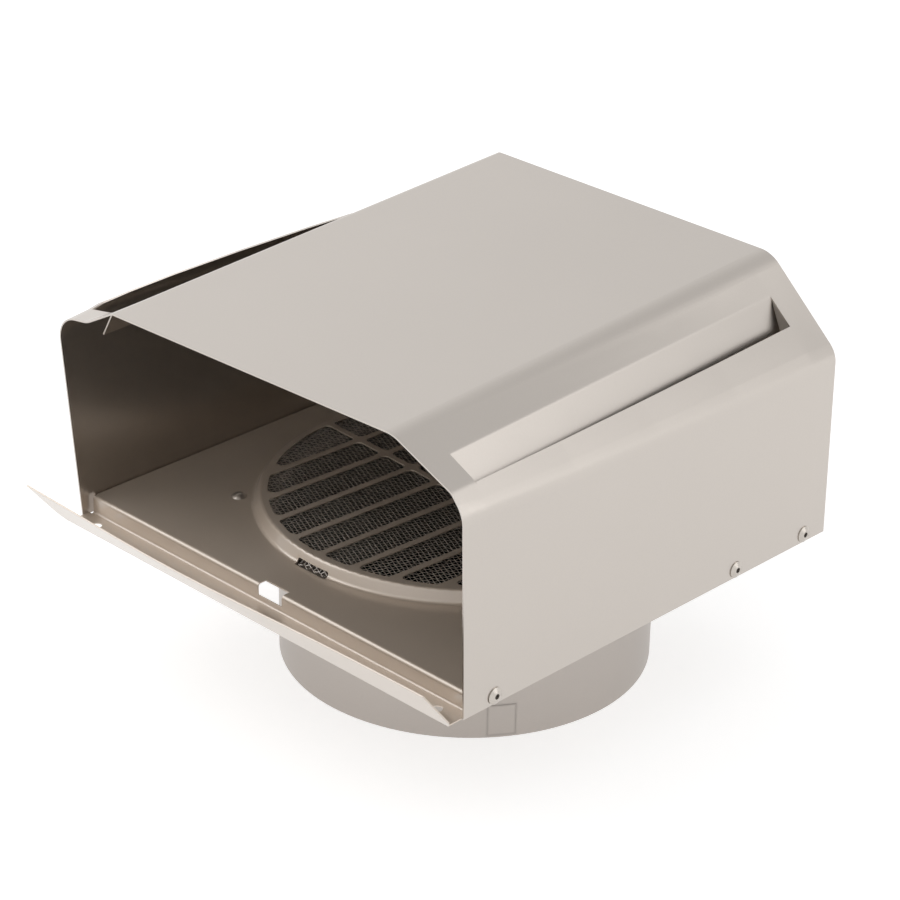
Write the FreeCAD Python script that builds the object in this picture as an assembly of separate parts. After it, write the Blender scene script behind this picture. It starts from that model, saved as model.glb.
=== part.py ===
import FreeCAD, Part
import math
import os

os.makedirs("parts", exist_ok=True)

Vector = FreeCAD.Vector

# All sizes are in millimetres.
# The vent cap lies on its back, as on a bench: the duct axis is Z, the open mouth faces -Y,
# and the origin is on the duct axis in the plane of the collar's free rim.

# sheet metal
sheet = 0.6
seat_gap = 0.05

# duct collar
collar_radius = 74.0
collar_length = 55.6
collar_flange_bend = 1.5
collar_flange_round = 6.0
collar_flange_half_width = 84.5
collar_flange_corner = 20.0
lap_start_angle = -39.0
lap_angle = 8.4
lap_foot = 1.2
lap_height = 13.0
lap_proud = 0.3

# hood, its heights measured up from the wall's plane
# the left side is pressed a little lower at the mouth than the right side
mouth_y = -108.5
mouth_lean = 0.068
back_y = 90.3
back_foot_reach = 1.9
wall_half_width = 104.2
shoulder_flare_right = 3.3
shoulder_flare_left = 2.6
shoulder_height_mouth_right = 87.4
shoulder_height_mouth_left = 86.4
shoulder_height_back = 77.1
top_half_width_mouth_right = 74.4
top_half_width_mouth_left = 73.3
top_half_width_back_right = 70.6
top_half_width_back_left = 73.5
top_height_mouth_right = 102.8
top_height_mouth_left = 98.6
top_height_back = 108.1
shoulder_bend_right = 9.0
shoulder_bend_left = 6.5
shoulder_bend_mouth = 12.5
top_bend_right = 13.0
top_bend_left = 3.0

# slot lanced in each sloping side, with its flap pushed in
slot_mouth_end_y = -102.5
slot_back_end_y = 76.5
slot_inset_mouth = 16.6
slot_inset_back = 15.1
slot_width_right = 13.6
slot_width_left = 12.0
flap_angle_mouth_right = 52.0
flap_angle_mouth_left = 61.0
flap_angle_back = 66.0
flap_bend = 2.0

# the left slope is dented down to its slot at the mouth, and its strip under the slot is sprung up
left_dent = 3.4
left_dent_bend = 12.0
left_spring = 5.1
left_spring_stations = (0.0, 0.03, 0.1, 0.22, 0.4, 0.6, 0.78, 0.9, 0.97, 1.0)

# the right strip under the slot leans down more steeply than the slope above it, most at the mouth
right_droop = 4.6
right_droop_bend = 4.0
right_droop_stations = (0.0, 0.25, 0.5, 0.75, 1.0)

# panel that closes the hood's far end
end_flange = 9.0
end_bend = 1.2

# pressed base plate
plate_rise = 7.7
step_y = -104.5
channel_width = 10.8
lip_length = 26.0
lip_angle = 51.4
lip_sag = 5.3
lip_sag_x = -22.0
lip_sag_reach = 69.0
lip_stations = 13
lip_half_width = 107.2
lip_corner = 3.4
plate_bend = 1.0
lip_bend = 1.6
side_flange_front_y = -101.5
corner_relief = 1.6
drain_hole_radius = 2.1
drain_hole_x = 93.0
drain_hole_inset = 5.9
notch_width = 13.0
notch_depth = 4.0
notch_drop = 4.8

# round boss with its grille
boss_reach = 9.6
boss_flank = 2.3
boss_rise = 5.0
boss_foot_bend = 2.2
boss_top_bend = 1.2
boss_margin = 4.0
grille_margin = 3.3
grille_turn = -3.6
bar_width = 2.6
bar_pitch = 15.8
bar_count = 8
first_bar_x = -59.2
cross_bar_y = -5.2
opening_corner = 2.4
foot_slot_width = 16.4
foot_slot_reach = 0.9
foot_slot_rise = 2.0
foot_slot_corner = 1.0
foot_slot_depth = 8.0

# woven insect screen, drawn with a coarse weave
screen_clearance = 0.5
screen_thickness = 0.8
screen_rim_thickness = 0.5
screen_turn = -25.0
weave_pitch = 11.6
weave_wire = 1.8
weave_edge = 4.0

# blind rivets through the hood's walls
side_rivet_y = (-93.1, 38.5, 79.4)
side_rivet_height = 3.5
rivet_shank_radius = 1.6
rivet_hole_clearance = 0.05
rivet_head_radius = 3.3
rivet_head_height = 1.1
rivet_head_rim = 0.35
rivet_head_flat_radius = 1.6
rivet_mouth_radius = 1.05
mandrel_radius = 0.95
mandrel_recess = 0.7
rivet_tail_radius = 2.4
rivet_tail_length = 2.2

# dome rivets that hold the collar's flange under the plate
dome_rivet_reach = 5.6
dome_rivet_count = 4
dome_rivet_first_angle = 45.0
dome_head_radius = 3.1
dome_head_height = 1.5

# levels and sizes that follow
wall_face_z = collar_length
plate_top_z = wall_face_z + plate_rise
plate_under_z = plate_top_z - sheet
boss_top_z = plate_top_z + boss_rise
inner_half_width = wall_half_width - sheet - seat_gap
collar_flange_join = collar_radius + collar_flange_round
boss_foot_radius = collar_radius + boss_reach
boss_top_radius = boss_foot_radius - boss_flank
grille_radius = boss_top_radius - grille_margin
dome_rivet_circle = boss_foot_radius + dome_rivet_reach
end_outer_y = back_y - seat_gap
plate_back_y = end_outer_y - sheet - seat_gap
fold_y = step_y - channel_width
lip_floor = channel_width / 2
side_rivet_z = wall_face_z + side_rivet_height
rivet_hole_radius = rivet_shank_radius + rivet_hole_clearance

# cutters run past what they cut by a little, or right through the whole part
overcut = 1.0
far = 400.0

# the hood's metal is made a little longer than the leaning mouth and then trimmed to it
front_y = mouth_y - mouth_lean * top_height_back - overcut

# what differs between the hood's halves
right_half = (shoulder_flare_right, shoulder_height_mouth_right, top_half_width_mouth_right,
              top_half_width_back_right, top_height_mouth_right)
left_half = (shoulder_flare_left, shoulder_height_mouth_left, top_half_width_mouth_left,
             top_half_width_back_left, top_height_mouth_left)


def plane_xz(y):
    """Return a function that puts flat (x, z) points in the plane at y."""
    return lambda p: Vector(p.x, y, p.y)


def plane_yz(x):
    """Return a function that puts flat (y, z) points in the plane at x."""
    return lambda p: Vector(x, p.x, p.y)


def left_normal(a, b):
    along = b - a
    normal = Vector(-along.y, along.x, 0)
    normal.normalize()
    return normal


def parallel_path(points, distance):
    """Corner points of the path that runs at a distance on the left of a path."""
    moved = [points[0] + left_normal(points[0], points[1]) * distance]
    for before, here, after in zip(points, points[1:], points[2:]):
        first = left_normal(before, here)
        second = left_normal(here, after)
        moved.append(here + (first + second) * (distance / (1.0 + first.dot(second))))
    moved.append(points[-1] + left_normal(points[-2], points[-1]) * distance)
    return moved


def rounded_path(points, radii, place):
    """Straight edges joined by tangent arcs, one radius for each inner corner."""
    edges = []
    start = points[0]
    for before, corner, after, radius in zip(points, points[1:], points[2:], radii):
        back = before - corner
        onward = after - corner
        back.normalize()
        onward.normalize()
        half = back.getAngle(onward) / 2.0
        middle = back + onward
        middle.normalize()
        first = corner + back * (radius / math.tan(half))
        last = corner + onward * (radius / math.tan(half))
        crown = corner + middle * (radius / math.sin(half) - radius)
        edges.append(Part.makeLine(place(start), place(first)))
        edges.append(Part.Arc(place(first), place(crown), place(last)).toShape())
        start = last
    edges.append(Part.makeLine(place(start), place(points[-1])))
    return edges


def folded_strip(points, inside_radii, place, thickness=sheet):
    """Closed section of a folded sheet: the path is one face, the metal lies on its left.

    A negative thickness puts the metal on the right of the path.
    """
    near_radii = []
    far_radii = []
    for before, here, after, radius in zip(points, points[1:], points[2:], inside_radii):
        turn = left_normal(before, here).dot(after - here)
        towards_metal = turn * thickness > 0
        near_radii.append(radius + abs(thickness) if towards_metal else radius)
        far_radii.append(radius if towards_metal else radius + abs(thickness))
    other = parallel_path(points, thickness)
    near_edges = rounded_path(points, near_radii, place)
    far_edges = rounded_path(other, far_radii, place)
    end_cap = Part.makeLine(place(points[-1]), place(other[-1]))
    start_cap = Part.makeLine(place(other[0]), place(points[0]))
    return Part.Wire(near_edges + [end_cap] + far_edges[::-1] + [start_cap])


def flat_polygon(points, place, direction):
    """Solid made by moving a flat outline along a direction."""
    corners = [place(p) for p in points]
    return Part.Face(Part.makePolygon(corners + corners[:1])).extrude(direction)


def box_between(low, high):
    return Part.makeBox(high[0] - low[0], high[1] - low[1], high[2] - low[2], Vector(*low))


def mirrored(path):
    """The same path on the other side of the middle plane, in the other direction."""
    return [Vector(-p.x, p.y, 0) for p in reversed(path)]


def turned(shape, angle):
    copy = shape.copy()
    copy.rotate(Vector(0, 0, 0), Vector(0, 0, 1), angle)
    return copy


def clean_union(first, others):
    return first.fuse(others).removeSplitter()


def save(name, shape):
    solids = shape.Solids
    result = solids[0] if len(solids) == 1 else Part.makeCompound(solids)
    result.exportStep("parts/" + name + ".step")
    print(name, "solids", len(solids), "volume", round(shape.Volume, 1), "valid", result.isValid())


def mouth_share(y):
    """0 at the mouth and 1 at the far end."""
    return (y - mouth_y) / (back_y - mouth_y)


def between(at_mouth, at_back, y):
    return at_mouth + (at_back - at_mouth) * mouth_share(y)


def hood_corners(y, half):
    """Outer corners of half the hood at y, from the wall's foot to the top panel, as on the right."""
    flare, shoulder_height, top_half_width_mouth, top_half_width_back, top_height = half
    foot = Vector(wall_half_width, wall_face_z, 0)
    shoulder = Vector(wall_half_width + between(flare, 0.0, y),
                      wall_face_z + between(shoulder_height, shoulder_height_back, y), 0)
    top = Vector(between(top_half_width_mouth, top_half_width_back, y),
                 wall_face_z + between(top_height, top_height_back, y), 0)
    return foot, shoulder, top


def wall_outer_x(y, z):
    """Outer face of the right wall, which leans out a little, below its shoulder bend."""
    foot, shoulder, top = hood_corners(y, right_half)
    return foot.x + (shoulder.x - foot.x) * (z - foot.y) / (shoulder.y - foot.y)


def slot_share(y):
    """0 at the slots' end near the mouth and 1 at their far end."""
    return (y - slot_mouth_end_y) / (slot_back_end_y - slot_mouth_end_y)


def slot_edges(y, half, width, dent):
    """Upper and lower edge of a slot, the upper one dented down from the straight slope."""
    foot, shoulder, top = hood_corners(y, half)
    down = shoulder - top
    down.normalize()
    upper = top + down * between(slot_inset_mouth, slot_inset_back, y) - Vector(0, dent, 0)
    onward = shoulder - upper
    onward.normalize()
    return upper, upper + onward * width


def flap_tip(upper, width, angle_mouth, y):
    angle = math.radians(angle_mouth + (flap_angle_back - angle_mouth) * slot_share(y))
    return upper + Vector(math.cos(angle), -math.sin(angle), 0) * width


def shoulder_radius(bend, y):
    """The shoulder's bend is sharp along the slot and opens out from there to the mouth."""
    share = max(0.0, (slot_mouth_end_y - y) / (slot_mouth_end_y - front_y))
    return bend + (shoulder_bend_mouth - bend) * share


def drooped_shoulder(y):
    """The right shoulder's corner, moved down the wall to where the strip under the slot meets it."""
    foot, shoulder, top = hood_corners(y, right_half)
    down = foot - shoulder
    down.normalize()
    return shoulder + down * right_droop * (1.0 - max(0.0, slot_share(y)) ** 2)


def front_section(y):
    """Full section at y between the mouth and the slots, with the left dent and the right droop."""
    foot, shoulder, top = hood_corners(y, right_half)
    lower = slot_edges(y, right_half, slot_width_right, 0.0)[1]
    foot_left, shoulder_left, top_left = hood_corners(y, left_half)
    dent = slot_edges(y, left_half, slot_width_left, left_dent)[0]
    path = [foot, drooped_shoulder(y), lower, top] + mirrored([foot_left, shoulder_left, dent, top_left])
    radii = [shoulder_radius(shoulder_bend_right, y), right_droop_bend, top_bend_right,
             top_bend_left, left_dent_bend, shoulder_radius(shoulder_bend_left, y)]
    return folded_strip(path, radii, plane_xz(y))


def rear_section(y):
    """Full section at y between the slots and the far end."""
    path = list(hood_corners(y, right_half)) + mirrored(hood_corners(y, left_half))
    radii = [shoulder_bend_right, top_bend_right, top_bend_left, shoulder_bend_left]
    return folded_strip(path, radii, plane_xz(y))


def top_section(y):
    """Section between the slots' ends: the top panel with its upper slopes and both flaps."""
    upper_right = slot_edges(y, right_half, slot_width_right, 0.0)[0]
    upper_left = slot_edges(y, left_half, slot_width_left, left_dent * (1.0 - slot_share(y)))[0]
    tip_right = flap_tip(upper_right, slot_width_right, flap_angle_mouth_right, y)
    tip_left = flap_tip(upper_left, slot_width_left, flap_angle_mouth_left, y)
    right = [tip_right, upper_right, hood_corners(y, right_half)[2]]
    left = [tip_left, upper_left, hood_corners(y, left_half)[2]]
    radii = [flap_bend, top_bend_right, top_bend_left, flap_bend]
    return folded_strip(right + mirrored(left), radii, plane_xz(y))


def right_wall_section(y):
    foot = hood_corners(y, right_half)[0]
    lower = slot_edges(y, right_half, slot_width_right, 0.0)[1]
    return folded_strip([foot, drooped_shoulder(y), lower], [shoulder_bend_right], plane_xz(y))


def left_wall_section(y):
    """The left wall's strip under the slot springs up between the slot's ends."""
    foot, shoulder, top = hood_corners(y, left_half)
    share = slot_share(y)
    lower = slot_edges(y, left_half, slot_width_left, left_dent * (1.0 - share))[1]
    spring = left_spring * math.sqrt(math.sin(math.pi * share)) if 0.0 < share < 1.0 else 0.0
    path = mirrored([foot, shoulder, lower + Vector(0, spring, 0)])
    return folded_strip(path, [shoulder_bend_left], plane_xz(y))


def loft(sections):
    return Part.makeLoft(sections, True, True)


def slot_places(shares):
    """The y of each share of the slots' length."""
    return [slot_mouth_end_y + (slot_back_end_y - slot_mouth_end_y) * share for share in shares]


def side_holes():
    """Rods along X through both walls, one at each blind rivet."""
    return [Part.makeCylinder(rivet_hole_radius, 2 * far, Vector(-far, y, side_rivet_z), Vector(1, 0, 0))
            for y in side_rivet_y]


def dome_rivet_places():
    step = 360.0 / dome_rivet_count
    angles = [math.radians(dome_rivet_first_angle + step * k) for k in range(dome_rivet_count)]
    return [(dome_rivet_circle * math.cos(a), dome_rivet_circle * math.sin(a)) for a in angles]


def dome_holes():
    return [Part.makeCylinder(rivet_hole_radius, far, Vector(x, y, 0)) for x, y in dome_rivet_places()]


def make_hood_shell():
    """One folded sheet: walls, sloping sides with a slot and flap each, and the top panel."""
    front = loft([front_section(front_y), front_section(slot_mouth_end_y)])
    rear = loft([rear_section(slot_back_end_y), rear_section(back_y + back_foot_reach + overcut)])
    top = loft([top_section(slot_mouth_end_y), top_section(slot_back_end_y)])
    right_wall = loft([right_wall_section(y) for y in slot_places(right_droop_stations)])
    left_wall = loft([left_wall_section(y) for y in slot_places(left_spring_stations)])
    shell = clean_union(front, [top, right_wall, left_wall, rear])

    mouth_trim = [Vector(mouth_y - far, wall_face_z - far, 0),
                  Vector(mouth_y + far * mouth_lean, wall_face_z - far, 0),
                  Vector(mouth_y - far * mouth_lean, wall_face_z + far, 0),
                  Vector(mouth_y - far, wall_face_z + far, 0)]
    back_lean = back_foot_reach / top_height_back
    back_trim = [Vector(back_y + far, wall_face_z - far, 0),
                 Vector(back_y + back_foot_reach + far * back_lean, wall_face_z - far, 0),
                 Vector(back_y + back_foot_reach - far * back_lean, wall_face_z + far, 0),
                 Vector(back_y + far, wall_face_z + far, 0)]
    for outline in (mouth_trim, back_trim):
        shell = shell.cut(flat_polygon(outline, plane_yz(-far), Vector(2 * far, 0, 0)))
    return shell.cut(side_holes())


def rounded_block(start_y, end_y, inset, radius):
    """Solid that fits in the hood's far end, its rim at end_y rounded along the sides and the top.

    The hood tapers, so the block takes its lowest shoulder and its lowest top over the flange's length.
    """
    halves = []
    for half in (right_half, left_half):
        foot, shoulder, highest_top = hood_corners(end_outer_y, half)
        top = hood_corners(end_outer_y - end_flange, half)[2]
        halves.append([foot, shoulder, top])
    path = parallel_path(halves[0] + mirrored(halves[1]), inset)
    bends = (shoulder_bend_right, top_bend_right, top_bend_left, shoulder_bend_left)
    place = plane_xz(start_y)
    edges = rounded_path(path, [bend + sheet - inset for bend in bends], place)
    edges.append(Part.makeLine(place(path[-1]), place(path[0])))
    block = Part.Face(Part.Wire(edges)).extrude(Vector(0, end_y - start_y, 0))
    rim = [edge for edge in block.Edges
           if edge.BoundBox.YMin > end_y - sheet / 2 and edge.BoundBox.ZMax > plate_top_z]
    return block.makeFillet(radius, rim)


def make_end_panel():
    """Flat panel with a flange turned inwards along the walls, the slopes and the top."""
    front_y = end_outer_y - end_flange
    outside = sheet + seat_gap
    panel = rounded_block(front_y, end_outer_y, outside, end_bend + sheet)
    panel = panel.cut(rounded_block(front_y - overcut, end_outer_y - sheet, outside + sheet, end_bend))
    over_plate = box_between((-far, front_y - overcut, wall_face_z - overcut),
                             (far, end_outer_y - sheet, plate_top_z + seat_gap))
    return panel.cut(over_plate)


def grille_openings():
    """Cutters for the openings between the bars, in a front and a back row."""
    low = boss_top_z - 2 * sheet
    height = 4 * sheet
    edges_x = [first_bar_x + bar_pitch * k for k in range(bar_count)]
    starts = [-far] + [x + bar_width / 2 for x in edges_x]
    ends = [x - bar_width / 2 for x in edges_x] + [far]
    rows = ((-far, cross_bar_y - bar_width / 2), (cross_bar_y + bar_width / 2, far))
    disc = Part.makeCylinder(grille_radius, height, Vector(0, 0, low))
    cutters = []
    for start, end in zip(starts, ends):
        for row_start, row_end in rows:
            cell = disc.common(box_between((start, row_start, low), (end, row_end, low + height)))
            upright = [edge for edge in cell.Edges if edge.BoundBox.ZLength > height / 2]
            cutters.append(turned(cell.makeFillet(opening_corner, upright), grille_turn))
    return cutters


def foot_slot_cutter():
    """Slot through the front of the boss's foot, its upright and its upper corners rounded."""
    low_y = -(boss_foot_radius + foot_slot_reach)
    cutter = box_between((-foot_slot_width / 2, low_y, plate_under_z - overcut),
                         (foot_slot_width / 2, low_y + foot_slot_depth, plate_top_z + foot_slot_rise))
    corners = []
    for edge in cutter.Edges:
        box = edge.BoundBox
        upright = box.ZLength > overcut and box.YMax < low_y + overcut
        upper_side = box.YLength > overcut and box.ZMin > plate_top_z
        if upright or upper_side:
            corners.append(edge)
    return cutter.makeFillet(foot_slot_corner, corners)


def make_lip():
    """The drip lip with its bend and part of the channel's floor. It sags along the middle."""
    fold = Vector(fold_y, wall_face_z + sheet, 0)
    sections = []
    for k in range(lip_stations):
        x = lip_half_width * (2.0 * k / (lip_stations - 1) - 1.0)
        sag = lip_sag * math.exp(-((x - lip_sag_x) / lip_sag_reach) ** 2)
        angle = math.radians(lip_angle - sag)
        path = [fold + Vector(-math.cos(angle), math.sin(angle), 0) * lip_length,
                fold, fold + Vector(lip_floor, 0, 0)]
        sections.append(folded_strip(path, [lip_bend], plane_yz(x), -sheet))
    return loft(sections)


def make_base_plate():
    """One pressed sheet: drip lip, channel, step, raised plate, boss, grille and flanges."""
    plate = make_lip()
    path = [Vector(fold_y + lip_floor - overcut, wall_face_z + sheet, 0),
            Vector(step_y, wall_face_z + sheet, 0),
            Vector(step_y, plate_top_z, 0),
            Vector(plate_back_y, plate_top_z, 0),
            Vector(plate_back_y, wall_face_z, 0)]
    section = folded_strip(path, [plate_bend, plate_bend, plate_bend], plane_yz(-lip_half_width), -sheet)
    body = Part.Face(section).extrude(Vector(2 * lip_half_width, 0, 0))
    plate = clean_union(plate, [body])

    flat_half_width = inner_half_width - corner_relief
    channel_back_y = step_y - plate_bend
    corner_y = fold_y - lip_corner
    outline = [Vector(flat_half_width, far, 0),
               Vector(flat_half_width, channel_back_y, 0),
               Vector(inner_half_width, channel_back_y, 0),
               Vector(inner_half_width, fold_y, 0),
               Vector(lip_half_width, corner_y, 0),
               Vector(lip_half_width, -far, 0)]
    blank = flat_polygon(outline + mirrored(outline), lambda p: p, Vector(0, 0, far))
    plate = plate.common(blank)

    side_path = [Vector(inner_half_width, wall_face_z, 0), Vector(inner_half_width, plate_top_z, 0)]
    sides = folded_strip(side_path + mirrored(side_path), [plate_bend, plate_bend],
                         plane_xz(side_flange_front_y))
    side_end_y = plate_back_y - sheet - plate_bend - corner_relief
    sides = Part.Face(sides).extrude(Vector(0, side_end_y - side_flange_front_y, 0))
    plate = clean_union(plate, [sides])

    join_radius = boss_foot_radius + boss_margin
    plate = plate.cut(Part.makeCylinder(join_radius, far, Vector(0, 0, wall_face_z + sheet * 2)))
    boss_path = [Vector(join_radius, plate_top_z, 0), Vector(boss_foot_radius, plate_top_z, 0),
                 Vector(boss_top_radius, boss_top_z, 0), Vector(0, boss_top_z, 0)]
    boss = Part.Face(folded_strip(boss_path, [boss_foot_bend, boss_top_bend], plane_xz(0), sheet))
    boss = boss.revolve(Vector(0, 0, 0), Vector(0, 0, 1), 360)
    plate = clean_union(plate, [boss])

    for cutter in grille_openings():
        plate = plate.cut(cutter)
    plate = plate.cut(foot_slot_cutter())
    plate = plate.cut(box_between((-notch_width / 2, step_y - overcut, plate_top_z - notch_drop),
                                  (notch_width / 2, step_y + notch_depth, plate_top_z + overcut)))
    for x in (-drain_hole_x, drain_hole_x):
        plate = plate.cut(Part.makeCylinder(drain_hole_radius, 4 * sheet,
                                            Vector(x, step_y - drain_hole_inset, wall_face_z - sheet)))
    plate = plate.cut(dome_holes())
    return plate.cut(side_holes())


def make_duct_collar():
    """Rolled band with a square flange under the plate and a lapped tab at its free rim."""
    flange_z = plate_under_z - sheet
    path = [Vector(collar_radius, 0, 0), Vector(collar_radius, flange_z, 0),
            Vector(collar_flange_join, flange_z, 0)]
    section = Part.Face(folded_strip(path, [collar_flange_bend], plane_xz(0), sheet))
    band = section.revolve(Vector(0, 0, 0), Vector(0, 0, 1), 360)
    flange = box_between((-collar_flange_half_width, -collar_flange_half_width, flange_z),
                         (collar_flange_half_width, collar_flange_half_width, plate_under_z))
    upright = [edge for edge in flange.Edges if edge.BoundBox.ZLength > sheet / 2]
    flange = flange.makeFillet(collar_flange_corner, upright)
    flange = flange.cut(Part.makeCylinder(collar_flange_join, far, Vector(0, 0, 0)))
    tab_path = [Vector(collar_radius - sheet / 2, lap_foot, 0),
                Vector(collar_radius + lap_proud, lap_foot, 0),
                Vector(collar_radius + lap_proud, lap_foot + lap_height, 0),
                Vector(collar_radius - sheet / 2, lap_foot + lap_height, 0)]
    corners = [plane_xz(0)(p) for p in tab_path]
    tab = Part.Face(Part.makePolygon(corners + corners[:1]))
    tab = turned(tab.revolve(Vector(0, 0, 0), Vector(0, 0, 1), lap_angle), lap_start_angle)
    return clean_union(band, [flange, tab]).cut(dome_holes())


def make_insect_screen():
    """Shallow cap of woven wire that fits up inside the boss and stands on the collar's flange."""
    radius = boss_top_radius - sheet - screen_clearance
    top_z = boss_top_z - sheet - screen_clearance
    cap = Part.makeCylinder(radius, top_z - plate_under_z, Vector(0, 0, plate_under_z))
    inside = Part.makeCylinder(radius - screen_rim_thickness, top_z - screen_thickness, Vector(0, 0, 0))
    cap = cap.cut(inside)
    gap = weave_pitch - weave_wire
    reach = radius - weave_edge
    lines = int(2 * radius / weave_pitch) // 2
    gaps = []
    for i in range(-lines, lines + 1):
        for j in range(-lines, lines + 1):
            x = i * weave_pitch
            y = j * weave_pitch
            if math.hypot(abs(x) + gap / 2, abs(y) + gap / 2) < reach:
                gaps.append(Part.makeBox(gap, gap, far, Vector(x - gap / 2, y - gap / 2, 0)))
    print("screen gaps", len(gaps))
    return cap.cut([turned(hole, screen_turn) for hole in gaps])


def rivet_seat_x(y):
    """Where a blind rivet's head meets the leaning right wall, at the top of the head."""
    return wall_outer_x(y - rivet_head_radius, side_rivet_z + rivet_head_radius)


def blind_rivet(y):
    """Body of one blind rivet in the right wall, its axis along X, with its head outside."""
    seat_x = rivet_seat_x(y)
    head_x = seat_x + rivet_head_height
    inner_x = inner_half_width - sheet
    tail_x = inner_x - rivet_tail_length
    profile = [(tail_x, rivet_mouth_radius),
               (tail_x, rivet_shank_radius),
               (inner_x - rivet_tail_length / 2, rivet_tail_radius),
               (inner_x, rivet_tail_radius),
               (inner_x, rivet_shank_radius),
               (seat_x, rivet_shank_radius),
               (seat_x, rivet_head_radius),
               (seat_x + rivet_head_rim, rivet_head_radius),
               (head_x, rivet_head_flat_radius),
               (head_x, rivet_mouth_radius)]
    corners = [Vector(x, y, side_rivet_z + radius) for x, radius in profile]
    face = Part.Face(Part.makePolygon(corners + corners[:1]))
    return face.revolve(Vector(0, y, side_rivet_z), Vector(1, 0, 0), 360)


def mandrel(y):
    """Stub of the pulled mandrel left inside one blind rivet."""
    start_x = inner_half_width - sheet - rivet_tail_length - mandrel_radius
    end_x = rivet_seat_x(y) + rivet_head_height - mandrel_recess
    return Part.makeCylinder(mandrel_radius, end_x - start_x, Vector(start_x, y, side_rivet_z),
                             Vector(1, 0, 0))


def dome_rivet(x, y):
    """Solid rivet with a low dome on the plate and a flat set head under the collar's flange."""
    sphere_radius = (dome_head_radius ** 2 + dome_head_height ** 2) / (2 * dome_head_height)
    crown = Part.makeSphere(sphere_radius, Vector(x, y, plate_top_z + dome_head_height - sphere_radius))
    head = crown.common(Part.makeCylinder(dome_head_radius + overcut, far, Vector(x, y, plate_top_z)))
    under_z = plate_under_z - sheet
    tail = Part.makeCylinder(dome_head_radius, dome_head_height / 2,
                             Vector(x, y, under_z - dome_head_height / 2))
    shank = Part.makeCylinder(rivet_shank_radius, plate_top_z - under_z + dome_head_height / 2,
                              Vector(x, y, under_z - dome_head_height / 4))
    return head.fuse([shank, tail]).removeSplitter()


def on_both_walls(maker):
    solids = []
    for y in side_rivet_y:
        right = maker(y)
        solids.extend([right, right.mirror(Vector(0, 0, 0), Vector(1, 0, 0))])
    return Part.makeCompound(solids)


save("hood_shell", make_hood_shell())
save("end_panel", make_end_panel())
save("base_plate", make_base_plate())
save("duct_collar", make_duct_collar())
save("insect_screen", make_insect_screen())
save("side_rivets", on_both_walls(blind_rivet))
save("side_rivet_mandrels", on_both_walls(mandrel))
save("plate_rivets", Part.makeCompound([dome_rivet(x, y) for x, y in dome_rivet_places()]))
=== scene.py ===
import math

import bmesh
import bpy
from mathutils import Matrix, Quaternion, Vector


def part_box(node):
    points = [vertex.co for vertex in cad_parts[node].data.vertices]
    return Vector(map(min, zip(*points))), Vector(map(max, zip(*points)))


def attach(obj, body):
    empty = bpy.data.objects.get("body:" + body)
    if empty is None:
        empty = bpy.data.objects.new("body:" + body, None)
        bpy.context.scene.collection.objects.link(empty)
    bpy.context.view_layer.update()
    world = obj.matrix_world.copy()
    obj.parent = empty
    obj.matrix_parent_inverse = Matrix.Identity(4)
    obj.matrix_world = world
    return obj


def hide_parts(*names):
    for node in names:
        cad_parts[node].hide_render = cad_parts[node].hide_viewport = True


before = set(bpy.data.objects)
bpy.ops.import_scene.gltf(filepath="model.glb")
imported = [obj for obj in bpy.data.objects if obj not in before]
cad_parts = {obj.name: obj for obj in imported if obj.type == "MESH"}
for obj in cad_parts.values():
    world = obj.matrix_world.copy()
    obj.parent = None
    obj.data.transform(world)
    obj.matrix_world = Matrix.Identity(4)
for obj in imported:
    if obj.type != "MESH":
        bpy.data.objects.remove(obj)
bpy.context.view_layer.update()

# All sizes are in metres. The duct axis is Z, the open mouth faces -Y.
QUARTER_TURN = math.pi / 2

# sheet pieces, in which a turn sharper than this is a cut edge and a softer one is a bend
CUT_EDGE_ANGLE = math.radians(50.0)
CUT_EDGE_SEGMENTS = 2
PLATE_EDGE_ROUND = 0.0001
COLLAR_EDGE_ROUND = 0.0002
SAME_PLACE = 0.000002
FLAT_ANGLE = math.radians(0.03)

# satin grain, made of wide faint clouds and fine grains
CLOUD_SCALE = 14.0
CLOUD_DETAIL = 3.0
GRAIN_SCALE = 1600.0
GRAIN_DETAIL = 2.0
GRAIN_HEIGHT = 0.0001

# sheen over the pressed plate's satin steel
SHEEN_ROUGHNESS = 0.16
SHEEN_IOR = 2.1

# rolled band of the collar, and its lap, whose edge gets a soft line of painted shade
BAND_RADIUS = 0.0737
LAP_ANGLE = math.radians(-34.8)
LAP_HALF_WIDTH = 0.0054
LAP_MIDDLE = 0.0077
LAP_HALF_HEIGHT = 0.0065
LAP_SHADE_WIDTH = 0.0008
LAP_SHADE_DEPTH = 0.2

# woven screen, which ends in a flared rim and a flat hem
SCREEN_PITCH = 0.00187
SCREEN_WIRE_RADIUS = 0.00019
SCREEN_WIRE_SIDES = 4
SCREEN_TURN = math.radians(-25.0)
SCREEN_EDGE_GAP = 0.0002
SCREEN_FLARE = 0.45
SCREEN_HEM = 0.0022
# how far the wires of each direction wave, in wire radii
SCREEN_WAVES = (0.3, 1.7)

# floor
FLOOR_SIZE = 12.0
FLOOR_PAINT = 0.68
FLOOR_GLOW = 0.62

# brightness of the backdrop, as light on the part and in reflections
BACKDROP_LIGHT = 0.7
BACKDROP_MIRRORED = 0.755
# reflections see it rise to the left, and fall low down in the left front corner
BACKDROP_LEFT = 0.55
BACKDROP_CORNER = -1.4
# they see a pale window on the right
WINDOW_LIGHT = 1.3
# soft edges of the corner and the window, each from just outside it to just inside it
CORNER_TOP = (0.5, 0.15)
WINDOW_LEFT = (0.18, 0.46)
WINDOW_BACK = (0.735, 0.61)
WINDOW_FRONT = (0.15, 0.4)

# key lamp, wide and dim so that no view of the metal clips to white
KEY_AT = Vector((-1.3, -1.0, 1.45))
KEY_TARGET = Vector((0.0, 0.0, 0.08))
KEY_SIZE = 1.4
KEY_WATTS = 8.0

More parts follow.
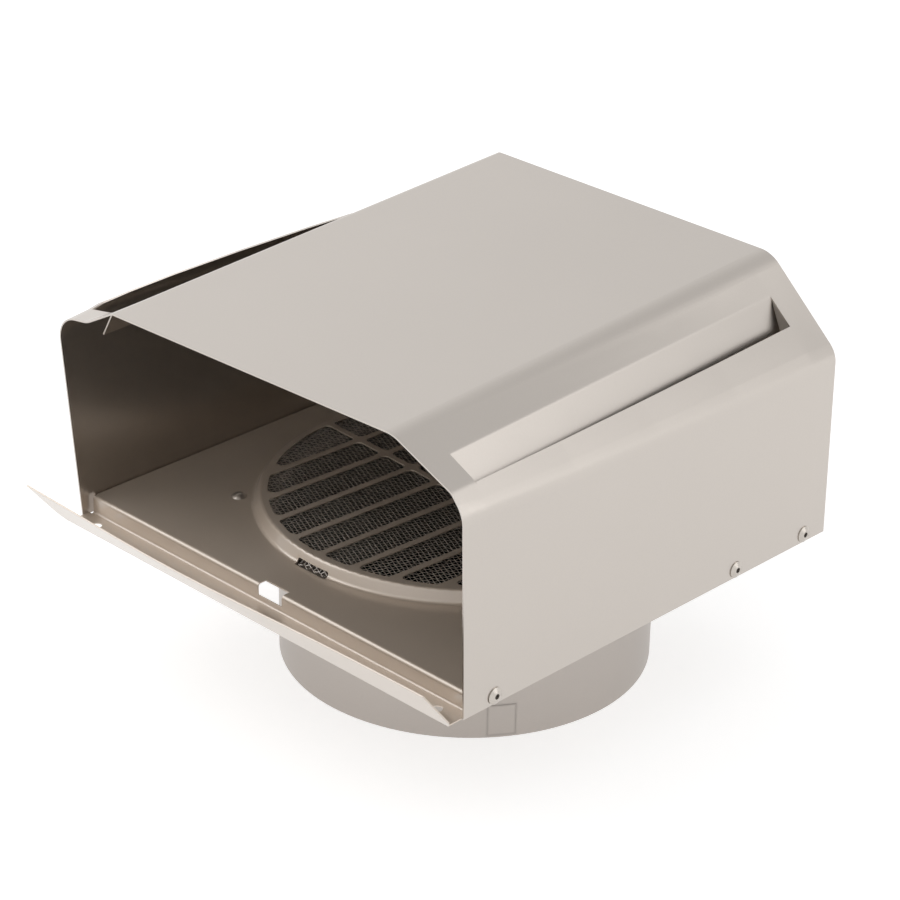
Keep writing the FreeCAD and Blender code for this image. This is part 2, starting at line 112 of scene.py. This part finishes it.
# camera, fitted to the photograph
CAMERA_AT = Vector((0.71206, -0.74538, 0.60431))
CAMERA_TARGET = Vector((-0.01359, 0.00355, 0.07853))
CAMERA_ROLL = math.radians(1.164)
CAMERA_LENS = 119.12
SENSOR_WIDTH = 36.0


def new_object(name, bm):
    """Smooth shaded mesh object from a bmesh, at the origin."""
    mesh = bpy.data.meshes.new(name)
    bm.to_mesh(mesh)
    bm.free()
    mesh.shade_smooth()
    obj = bpy.data.objects.new(name, mesh)
    bpy.context.scene.collection.objects.link(obj)
    return obj


# nodes that several materials use


def feed(tree, socket, value):
    """Set a number on the socket, or link another node's output to it."""
    if isinstance(value, float):
        socket.default_value = value
    else:
        tree.links.new(value, socket)


def math_node(tree, operation, *values):
    """Math node fed by numbers and outputs. Gives its own output."""
    node = tree.nodes.new("ShaderNodeMath")
    node.operation = operation
    for socket, value in zip(node.inputs, values):
        feed(tree, socket, value)
    return node.outputs[0]


def blend_node(tree, factor, first, second):
    """Number that goes from the first to the second with the factor."""
    node = tree.nodes.new("ShaderNodeMix")
    node.data_type = "FLOAT"
    for name, value in (("Factor", factor), ("A", first), ("B", second)):
        feed(tree, node.inputs[name], value)
    return node.outputs["Result"]


def ramp_node(tree, value, span, low=0.0, high=1.0):
    """Number that goes from low to high while the value goes through the span."""
    node = tree.nodes.new("ShaderNodeMapRange")
    tree.links.new(value, node.inputs["Value"])
    node.inputs["From Min"].default_value, node.inputs["From Max"].default_value = span
    node.inputs["To Min"].default_value = low
    node.inputs["To Max"].default_value = high
    return node.outputs["Result"]


def shaded_color(tree, color, factor):
    """Colour made darker or lighter by the factor."""
    node = tree.nodes.new("ShaderNodeVectorMath")
    node.operation = "SCALE"
    tree.links.new(color, node.inputs[0])
    tree.links.new(factor, node.inputs["Scale"])
    return node.outputs["Vector"]


# finishes


def satin_grain():
    """Node group of the fine even grain: a colour shade, a roughness and a bump height."""
    tree = bpy.data.node_groups.new("satin grain", "ShaderNodeTree")
    tree.interface.new_socket("Color", in_out="INPUT", socket_type="NodeSocketColor")
    for name in ("Roughness", "Cloudiness", "Speckle"):
        tree.interface.new_socket(name, in_out="INPUT", socket_type="NodeSocketFloat")
    tree.interface.new_socket("Color", in_out="OUTPUT", socket_type="NodeSocketColor")
    for name in ("Roughness", "Height"):
        tree.interface.new_socket(name, in_out="OUTPUT", socket_type="NodeSocketFloat")
    given = tree.nodes.new("NodeGroupInput").outputs
    result = tree.nodes.new("NodeGroupOutput").inputs
    place = tree.nodes.new("ShaderNodeTexCoord")

    def noise(scale, detail):
        """Noise over the piece, around 0.5."""
        texture = tree.nodes.new("ShaderNodeTexNoise")
        texture.inputs["Scale"].default_value = scale
        texture.inputs["Detail"].default_value = detail
        tree.links.new(place.outputs["Object"], texture.inputs["Vector"])
        return texture.outputs["Fac"]

    def swing(texture, amount):
        """Noise as a factor that swings around 1 by the amount."""
        centred = math_node(tree, "SUBTRACT", texture, 0.5)
        return math_node(tree, "MULTIPLY_ADD", centred, amount, 1.0)

    clouds = noise(CLOUD_SCALE, CLOUD_DETAIL)
    grains = noise(GRAIN_SCALE, GRAIN_DETAIL)
    cloud_factor = swing(clouds, given["Cloudiness"])
    grain_factor = swing(grains, given["Speckle"])
    both = math_node(tree, "MULTIPLY", cloud_factor, grain_factor)
    tree.links.new(shaded_color(tree, given["Color"], both), result["Color"])
    rough = math_node(tree, "DIVIDE", given["Roughness"], cloud_factor)
    tree.links.new(rough, result["Roughness"])
    tree.links.new(grains, result["Height"])
    return tree


SATIN_GRAIN = satin_grain()


def srgb(red, green, blue):
    """Linear colour from the 0 to 255 values of a picture."""
    channels = []
    for value in (red, green, blue):
        share = value / 255.0
        channels.append(share / 12.92 if share <= 0.04045 else ((share + 0.055) / 1.055) ** 2.4)
    return (*channels, 1.0)


def steel(name, color, roughness, cloudiness, speckle, bump, metallic=1.0, sheen=0.0):
    """Satin steel with its own colour, gloss and grain. Sheen adds a crisp light line on bends."""
    material = bpy.data.materials.new(name)
    material.use_nodes = True
    nodes, links = material.node_tree.nodes, material.node_tree.links
    shader = nodes["Principled BSDF"].inputs
    shader["Metallic"].default_value = metallic
    shader["Coat Weight"].default_value = sheen
    shader["Coat Roughness"].default_value = SHEEN_ROUGHNESS
    shader["Coat IOR"].default_value = SHEEN_IOR
    grain = nodes.new("ShaderNodeGroup")
    grain.node_tree = SATIN_GRAIN
    grain.inputs["Color"].default_value = color
    grain.inputs["Roughness"].default_value = roughness
    grain.inputs["Cloudiness"].default_value = cloudiness
    grain.inputs["Speckle"].default_value = speckle
    relief = nodes.new("ShaderNodeBump")
    relief.inputs["Strength"].default_value = bump
    relief.inputs["Distance"].default_value = GRAIN_HEIGHT
    links.new(grain.outputs["Color"], shader["Base Color"])
    links.new(grain.outputs["Roughness"], shader["Roughness"])
    links.new(grain.outputs["Height"], relief.inputs["Height"])
    links.new(relief.outputs["Normal"], shader["Normal"])
    return material


def paint_lap_shade(material):
    """Painted shade: a soft dark line along the edge of the collar's lap, where its step meets the
    band.
    """
    tree = material.node_tree
    place = tree.nodes.new("ShaderNodeTexCoord")
    parts = tree.nodes.new("ShaderNodeSeparateXYZ")
    tree.links.new(place.outputs["Object"], parts.inputs[0])
    x, y, z = parts.outputs
    turn = math_node(tree, "SUBTRACT", math_node(tree, "ARCTAN2", y, x), LAP_ANGLE)
    turn = math_node(tree, "ABSOLUTE", turn)
    beside = math_node(tree, "MULTIPLY_ADD", turn, BAND_RADIUS, -LAP_HALF_WIDTH)
    above = math_node(tree, "ABSOLUTE", math_node(tree, "SUBTRACT", z, LAP_MIDDLE))
    above = math_node(tree, "SUBTRACT", above, LAP_HALF_HEIGHT)
    away = math_node(tree, "ABSOLUTE", math_node(tree, "MAXIMUM", beside, above))
    # painted shade, darkest right on the lap's outline
    line = ramp_node(tree, away, (0.0, LAP_SHADE_WIDTH), low=1.0 - LAP_SHADE_DEPTH)
    base_color = tree.nodes["Principled BSDF"].inputs["Base Color"]
    shaded = shaded_color(tree, base_color.links[0].from_socket, line)
    tree.links.new(shaded, base_color)


hood_steel = steel("hood satin steel", srgb(199, 192, 185),
                   roughness=0.30, cloudiness=0.04, speckle=0.05, bump=0.15)
plate_steel = steel("plate satin steel", srgb(216, 201, 185),
                    roughness=0.50, cloudiness=0.04, speckle=0.05, bump=0.12,
                    metallic=0.50, sheen=0.8)
collar_steel = steel("collar satin steel", srgb(184, 177, 171),
                     roughness=0.40, cloudiness=0.05, speckle=0.05, bump=0.12)
rivet_steel = steel("rivet steel", srgb(200, 193, 185),
                    roughness=0.32, cloudiness=0.05, speckle=0.05, bump=0.10, metallic=0.85)
mandrel_steel = steel("mandrel steel", srgb(92, 88, 84),
                      roughness=0.50, cloudiness=0.10, speckle=0.10, bump=0.30)
wire_steel = steel("screen wire steel", srgb(238, 231, 223),
                   roughness=0.38, cloudiness=0.05, speckle=0.05, bump=0.00, metallic=0.95)
# painted shade along the collar's lap
paint_lap_shade(collar_steel)

finish_of = {
    "hood_shell": hood_steel,
    "end_panel": hood_steel,
    "base_plate": plate_steel,
    "duct_collar": collar_steel,
    "side_rivets": rivet_steel,
    "side_rivet_mandrels": mandrel_steel,
    "plate_rivets": rivet_steel,
    "insect_screen": wire_steel,
}
for node, material in finish_of.items():
    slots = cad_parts[node].data.materials
    slots.clear()
    slots.append(material)


# pressed plate and rolled collar


def dressed_sheet(name, node, edge_round):
    """The node's own sheet with its flat faces joined up and its cut edges a little rounded."""
    bm = bmesh.new()
    bm.from_mesh(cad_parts[node].data)
    bmesh.ops.remove_doubles(bm, verts=bm.verts, dist=SAME_PLACE)
    bmesh.ops.dissolve_limit(bm, angle_limit=FLAT_ANGLE, use_dissolve_boundaries=False,
                             verts=bm.verts, edges=bm.edges)
    cut_edges = [edge for edge in bm.edges
                 if edge.is_manifold and edge.calc_face_angle() > CUT_EDGE_ANGLE]
    bmesh.ops.bevel(bm, geom=cut_edges, offset=edge_round, offset_type="OFFSET",
                    segments=CUT_EDGE_SEGMENTS, profile=0.5, affect="EDGES",
                    clamp_overlap=False, material=-1)
    sheet = new_object(name, bm)
    sheet.data.set_sharp_from_angle(angle=CUT_EDGE_ANGLE)
    evened = sheet.modifiers.new("even shading", "WEIGHTED_NORMAL")
    evened.keep_sharp = True
    sheet.data.materials.append(finish_of[node])
    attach(sheet, "root")
    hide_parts(node)


dressed_sheet("pressed_plate", "base_plate", PLATE_EDGE_ROUND)
dressed_sheet("rolled_collar", "duct_collar", COLLAR_EDGE_ROUND)


# woven screen


def wavy_wire(line, crossings, wave):
    """Wire along X that goes over one crossing wire and under the next by the wave."""
    bm = bmesh.new()
    bmesh.ops.create_cone(bm, cap_ends=True, segments=SCREEN_WIRE_SIDES,
                          radius1=SCREEN_WIRE_RADIUS, radius2=SCREEN_WIRE_RADIUS,
                          depth=2 * crossings * SCREEN_PITCH,
                          matrix=Matrix.Rotation(QUARTER_TURN, 4, "Y"))
    lengthwise = [edge for edge in bm.edges if edge.calc_length() > SCREEN_PITCH]
    bmesh.ops.subdivide_edges(bm, edges=lengthwise, cuts=2 * crossings - 1)
    for vert in bm.verts:
        over = (round(vert.co.x / SCREEN_PITCH) + line) % 2 == 0
        vert.co.z += wave if over else -wave
    return bm


def woven_disc(radius):
    """Flat round piece of plain weave."""
    disc = bmesh.new()
    reach = int(radius / SCREEN_PITCH)
    for direction, wave in enumerate(SCREEN_WAVES):
        across = Matrix.Rotation(direction * QUARTER_TURN, 4, "Z")
        for line in range(-reach, reach + 1):
            offset = line * SCREEN_PITCH
            crossings = int(math.sqrt(radius ** 2 - offset ** 2) / SCREEN_PITCH)
            if crossings < 1:
                continue
            wire = wavy_wire(line + direction, crossings, wave * SCREEN_WIRE_RADIUS)
            place = across @ Matrix.Translation((0, offset, 0))
            bmesh.ops.transform(wire, matrix=place, verts=wire.verts)
            strand = bpy.data.meshes.new("strand")
            wire.to_mesh(strand)
            wire.free()
            disc.from_mesh(strand)
            bpy.data.meshes.remove(strand)
    return disc


def turn_down_edge(bm, cap_radius, rim_height):
    """Bend the flat weave down past the cap's radius, and out again as a hem at the rim's foot."""
    for vert in bm.verts:
        reach = vert.co.xy.length
        past_cap = reach - cap_radius
        if past_cap > 0.0:
            weave = vert.co.z
            drop = min(past_cap, rim_height)
            hem = max(0.0, past_cap - rim_height)
            outward = SCREEN_FLARE * drop + hem
            vert.co *= (cap_radius + outward + (0.0 if hem else weave)) / reach
            vert.co.z = -drop + (weave if hem else 0.0)


def make_woven_screen():
    """Weave cut as a disc, its edge turned down all round, in the place of the plain solid."""
    low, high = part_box("insect_screen")
    cap_radius = high.x - SCREEN_EDGE_GAP - 2 * SCREEN_WIRE_RADIUS
    rim_height = high.z - low.z - 2 * SCREEN_WIRE_RADIUS
    bm = woven_disc(cap_radius + rim_height + SCREEN_HEM)
    turn_down_edge(bm, cap_radius, rim_height)
    top = high.z - 2 * SCREEN_WIRE_RADIUS
    place = Matrix.Translation((0, 0, top)) @ Matrix.Rotation(SCREEN_TURN, 4, "Z")
    bmesh.ops.transform(bm, matrix=place, verts=bm.verts)
    return new_object("woven_screen", bm)


woven_screen = make_woven_screen()
woven_screen.data.materials.append(wire_steel)
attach(woven_screen, "root")
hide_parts("insect_screen")


# floor, light and camera


def white_floor():
    """Floor, white to the camera and in reflections, softly shadowed, with painted shade: black
    inside the duct.
    """
    bm = bmesh.new()
    bmesh.ops.create_grid(bm, x_segments=1, y_segments=1, size=FLOOR_SIZE / 2)
    floor = new_object("floor", bm)
    material = bpy.data.materials.new("white floor")
    material.use_nodes = True
    tree = material.node_tree
    tree.nodes.remove(tree.nodes["Principled BSDF"])
    place = tree.nodes.new("ShaderNodeTexCoord")
    reach = tree.nodes.new("ShaderNodeVectorMath")
    reach.operation = "LENGTH"
    tree.links.new(place.outputs["Object"], reach.inputs[0])
    # inside the duct the floor is painted black and gives no glow: painted shade seen through the
    # screen
    outside_duct_shade = math_node(tree, "GREATER_THAN", reach.outputs["Value"], BAND_RADIUS)

    paint = tree.nodes.new("ShaderNodeBsdfDiffuse")
    pale = math_node(tree, "MULTIPLY", outside_duct_shade, FLOOR_PAINT)
    tree.links.new(pale, paint.inputs["Color"])

    glow = tree.nodes.new("ShaderNodeEmission")
    path = tree.nodes.new("ShaderNodeLightPath").outputs
    seen = math_node(tree, "MAXIMUM", path["Is Camera Ray"], path["Is Glossy Ray"])
    strength = math_node(tree, "MULTIPLY", seen, FLOOR_GLOW)
    strength = math_node(tree, "MULTIPLY", strength, outside_duct_shade)
    tree.links.new(strength, glow.inputs["Strength"])

    both = tree.nodes.new("ShaderNodeAddShader")
    tree.links.new(paint.outputs[0], both.inputs[0])
    tree.links.new(glow.outputs[0], both.inputs[1])
    tree.links.new(both.outputs[0], tree.nodes["Material Output"].inputs["Surface"])
    floor.data.materials.append(material)


def studio_world():
    """White backdrop, whose mirrored brightness changes softly with the direction."""
    world = bpy.data.worlds.new("studio")
    world.use_nodes = True
    tree = world.node_tree
    direction = tree.nodes.new("ShaderNodeTexCoord")
    parts = tree.nodes.new("ShaderNodeSeparateXYZ")
    tree.links.new(direction.outputs["Object"], parts.inputs[0])
    x, y, z = parts.outputs

    left = math_node(tree, "MINIMUM", x, 0.0)
    front = math_node(tree, "MINIMUM", y, 0.0)
    corner = math_node(tree, "MULTIPLY", left, front)
    corner = math_node(tree, "MULTIPLY", corner, ramp_node(tree, z, CORNER_TOP))
    window = ramp_node(tree, x, WINDOW_LEFT)
    window = math_node(tree, "MULTIPLY", window, ramp_node(tree, y, WINDOW_BACK))
    window = math_node(tree, "MULTIPLY", window, ramp_node(tree, y, WINDOW_FRONT))

    mirrored = math_node(tree, "MULTIPLY", left, left)
    mirrored = math_node(tree, "MULTIPLY_ADD", mirrored, BACKDROP_LEFT, BACKDROP_MIRRORED)
    mirrored = math_node(tree, "MULTIPLY_ADD", corner, BACKDROP_CORNER, mirrored)
    mirrored = math_node(tree, "MULTIPLY_ADD", window, WINDOW_LIGHT, mirrored)

    path = tree.nodes.new("ShaderNodeLightPath").outputs
    plain = blend_node(tree, path["Is Camera Ray"], BACKDROP_LIGHT, 1.0)
    strength = blend_node(tree, path["Is Glossy Ray"], plain, mirrored)
    background = tree.nodes["Background"].inputs
    background["Color"].default_value = (1.0, 1.0, 1.0, 1.0)
    tree.links.new(strength, background["Strength"])
    bpy.context.scene.world = world


def aim(obj, at, target, roll=0.0):
    """Put the lamp or the camera in its place, turned to the target."""
    obj.location = at
    obj.rotation_mode = "QUATERNION"
    look = (target - at).to_track_quat("-Z", "Y")
    obj.rotation_quaternion = look @ Quaternion((0, 0, 1), roll)
    bpy.context.scene.collection.objects.link(obj)


def key_lamp():
    """Square soft lamp that lights the part from the left, above the mouth."""
    data = bpy.data.lights.new("key", "AREA")
    data.shape = "SQUARE"
    data.size = KEY_SIZE
    data.energy = KEY_WATTS
    aim(bpy.data.objects.new("key", data), KEY_AT, KEY_TARGET)


def photo_camera():
    """Camera in the place from which the photograph was taken."""
    data = bpy.data.cameras.new("camera")
    data.lens = CAMERA_LENS
    data.sensor_width = SENSOR_WIDTH
    camera = bpy.data.objects.new("camera", data)
    aim(camera, CAMERA_AT, CAMERA_TARGET, CAMERA_ROLL)
    bpy.context.scene.camera = camera


white_floor()
studio_world()
key_lamp()
photo_camera()
bpy.context.scene.view_settings.view_transform = "Standard"
